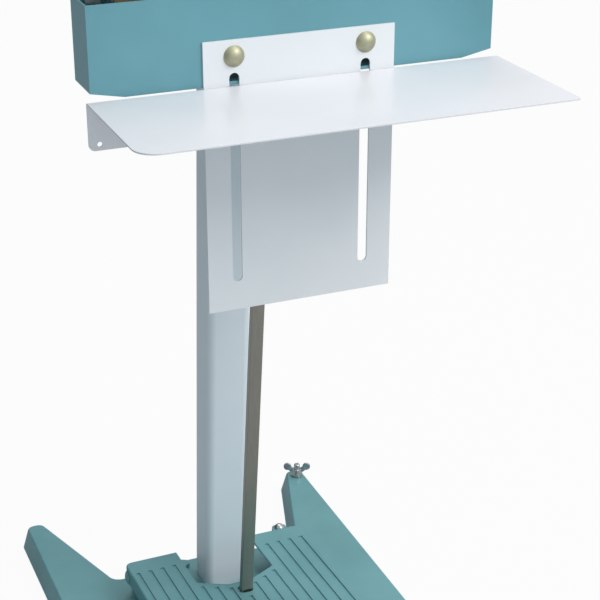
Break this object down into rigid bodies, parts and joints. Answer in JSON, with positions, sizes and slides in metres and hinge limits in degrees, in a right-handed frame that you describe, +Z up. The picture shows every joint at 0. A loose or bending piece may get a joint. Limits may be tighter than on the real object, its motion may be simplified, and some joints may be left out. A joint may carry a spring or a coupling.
{
  "type": "bag sealer",
  "caption": "Free-standing foot-pedal impulse bag sealer: butterfly base, leaning column, pull bar to the jaw lever, sealing head and a shelf that slides on a slotted plate.",
  "frame": {"origin": "on the floor, below the middle of the whole machine's box", "axes": "+X along the jaws to the operator's right, +Y to the back, away from the operator, +Z up"},
  "size_m": [0.4, 0.6256, 0.9004],
  "materials": {
    "teal_enamel": "glossy teal enamel on cast iron and sheet steel",
    "white_enamel": "glossy near-white enamel",
    "grey_enamel": "pale blue-grey enamel",
    "polished_steel": "bright ground steel",
    "yellow_zinc": "yellow passivated zinc plate",
    "bright_zinc": "bright zinc plate",
    "spring_steel": "oiled spring steel",
    "black_rubber": "moulded black rubber",
    "red_silicone": "moulded silicone",
    "ptfe_cloth": "brown PTFE-coated glass cloth",
    "phenolic": "brown phenolic laminate",
    "mill_aluminium": "extruded aluminium",
    "nickel_chrome": "resistance ribbon",
    "black_plastic": "moulded black ABS",
    "white_nylon": "turned nylon",
    "red_lens": "clear red acrylic",
    "core_steel": "laminated electrical steel",
    "coil_wire": "taped copper winding",
    "board_green": "printed circuit board"
  },
  "bodies": {
    "frame": {"base_casting": "teal_enamel", "rubber_feet": "black_rubber", "levelling_pad": "black_rubber", "levelling_stud": "bright_zinc", "plain_washers": "bright_zinc", "column": "grey_enamel", "column_foot_flange": "teal_enamel", "column_foot_bolts": "teal_enamel", "column_top_plate": "grey_enamel", "hinge_axles": "teal_enamel", "hinge_nuts": "bright_zinc", "head_bracket": "teal_enamel", "bracket_bolts": "bright_zinc", "jaw_housing": "teal_enamel", "head_bolts": "bright_zinc", "jaw_rail": "bright_zinc", "insulating_strip": "phenolic", "seal_bar": "mill_aluminium", "heating_ribbon": "nickel_chrome", "ptfe_cover": "ptfe_cloth", "element_clamps": "bright_zinc", "clamp_screws": "yellow_zinc", "slotted_plate": "white_enamel", "plate_bolts": "yellow_zinc", "jaw_pivot_pin": "bright_zinc", "pivot_clips": "spring_steel", "spring_guide": "bright_zinc", "return_spring": "spring_steel", "micro_switch": "black_plastic", "control_box_shell": "teal_enamel", "control_box_cover": "teal_enamel", "cover_screws": "bright_zinc", "box_bolts": "bright_zinc", "timer_potentiometer": "bright_zinc", "switch_frame": "black_plastic", "pilot_lamp": "red_lens", "cord_gland": "black_plastic", "fuse_holder": "black_plastic", "transformer_core": "core_steel", "transformer_coil": "coil_wire", "timer_board": "board_green"},
    "pedal": {"pedal": "teal_enamel", "pedal_bushes": "white_nylon", "pedal_stop_screw": "bright_zinc", "lower_pin": "bright_zinc"},
    "pull_bar": {"pull_bar": "polished_steel"},
    "jaw": {"jaw_lever": "teal_enamel", "lever_bushes": "white_nylon", "upper_pin": "bright_zinc", "upper_jaw": "teal_enamel", "silicone_holder": "mill_aluminium", "silicone_strip": "red_silicone", "jaw_mount_bolts": "bright_zinc"},
    "table": {"shelf": "white_enamel", "shelf_clamp_bolts": "yellow_zinc", "shelf_clamp_nuts": "yellow_zinc"},
    "wing_nut": {"wing_nut": "bright_zinc"},
    "dial": {"timer_dial": "black_plastic"},
    "rocker": {"power_rocker": "red_lens"},
    "plunger": {"switch_plunger": "white_nylon"}
  },
  "joints": [
    {"name": "pedal_press", "type": "hinge", "parent": "frame", "child": "pedal", "pos_m": [0, 0.11025, 0.058], "axis": [1, 0, 0], "range_deg": [0, 11.41], "stiffness_Nm_per_rad": 30, "springref_deg": -22.92},
    {"name": "bar_hinge", "type": "hinge", "parent": "pedal", "child": "pull_bar", "pos_m": [0, 0.00851, 0.058], "axis": [1, 0, 0], "range_deg": [-11.2, 0]},
    {"name": "jaw_swing", "type": "hinge", "parent": "frame", "child": "jaw", "pos_m": [0, 0.03725, 0.826], "axis": [1, 0, 0], "range_deg": [0, 9.05], "deforming": ["return_spring"]},
    {"name": "table_slide", "type": "slide", "parent": "frame", "child": "table", "axis": [0, 0, -1], "range_m": [0, 0.16]},
    {"name": "wing_nut_turn", "type": "hinge", "parent": "frame", "child": "wing_nut", "pos_m": [0.18225, 0.29025, 0.04], "axis": [0, 0, 1], "continuous": true},
    {"name": "dial_turn", "type": "hinge", "parent": "frame", "child": "dial", "pos_m": [0.042, 0.1, 0.8625], "axis": [0, 0.5722, -0.8201], "range_deg": [0, 270]},
    {"name": "rocker_tilt", "type": "hinge", "parent": "frame", "child": "rocker", "pos_m": [-0.025, 0.1, 0.8625], "axis": [1, 0, 0], "range_deg": [0, 18]},
    {"name": "plunger_press", "type": "slide", "parent": "frame", "child": "plunger", "axis": [0, 0, 1], "range_m": [-0.00151, 0]}
  ],
  "couplings": [
    {"joint": "bar_hinge", "follows": "pedal_press", "ratio": -0.97709},
    {"joint": "jaw_swing", "follows": "pedal_press", "ratio": 0.78865},
    {"joint": "plunger_press", "follows": "pedal_press", "m_per_rad": -0.007531}
  ]
}
